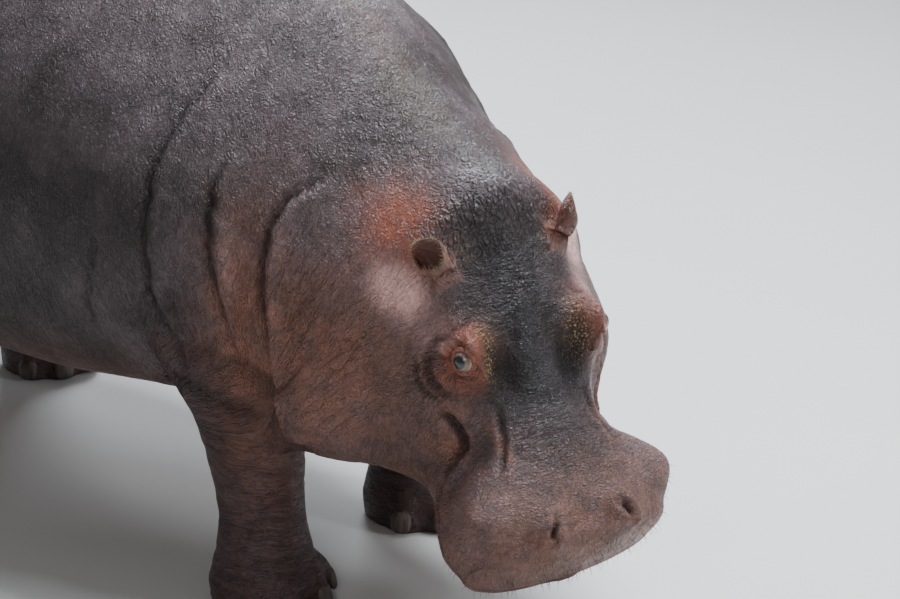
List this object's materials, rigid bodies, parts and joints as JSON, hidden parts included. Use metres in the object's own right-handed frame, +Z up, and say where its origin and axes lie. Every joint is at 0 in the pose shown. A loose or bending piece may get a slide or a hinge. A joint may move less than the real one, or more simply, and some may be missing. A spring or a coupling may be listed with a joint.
{
  "type": "hippopotamus",
  "caption": "Life-size hippopotamus standing on short stout legs, with a barrel body, a heavy lowered head turned a little aside, small round ears, raised eyes and a short flat tail.",
  "frame": {"origin": "on the floor, below the middle of the box around the whole animal", "axes": "+X forward along the body, +Y to the animal's left, +Z up; the soles stand at z = 0"},
  "size_m": [2.7742, 1.1722, 1.4456],
  "materials": {
    "hide": "semi-matte, damp sheen on the back",
    "face": "semi-matte, wrinkled",
    "leg": "semi-matte, wrinkled",
    "keratin": "satin",
    "eye": "wet gloss"
  },
  "bodies": {
    "root": {"trunk": "hide", "neck": "hide", "head": "face", "lower_jaw": "face", "ear_left": "face", "ear_right": "face", "eye_left": "eye", "eye_right": "eye", "upper_leg_front_left": "hide", "lower_leg_front_left": "leg", "foot_front_left": "leg", "nail_front_left_1": "keratin", "nail_front_left_2": "keratin", "nail_front_left_3": "keratin", "nail_front_left_4": "keratin", "upper_leg_front_right": "hide", "lower_leg_front_right": "leg", "foot_front_right": "leg", "nail_front_right_1": "keratin", "nail_front_right_2": "keratin", "nail_front_right_3": "keratin", "nail_front_right_4": "keratin", "upper_leg_rear_left": "hide", "lower_leg_rear_left": "leg", "foot_rear_left": "leg", "nail_rear_left_1": "keratin", "nail_rear_left_2": "keratin", "nail_rear_left_3": "keratin", "nail_rear_left_4": "keratin", "upper_leg_rear_right": "hide", "lower_leg_rear_right": "leg", "foot_rear_right": "leg", "nail_rear_right_1": "keratin", "nail_rear_right_2": "keratin", "nail_rear_right_3": "keratin", "nail_rear_right_4": "keratin", "tail": "leg"}
  },
  "joints": []
}
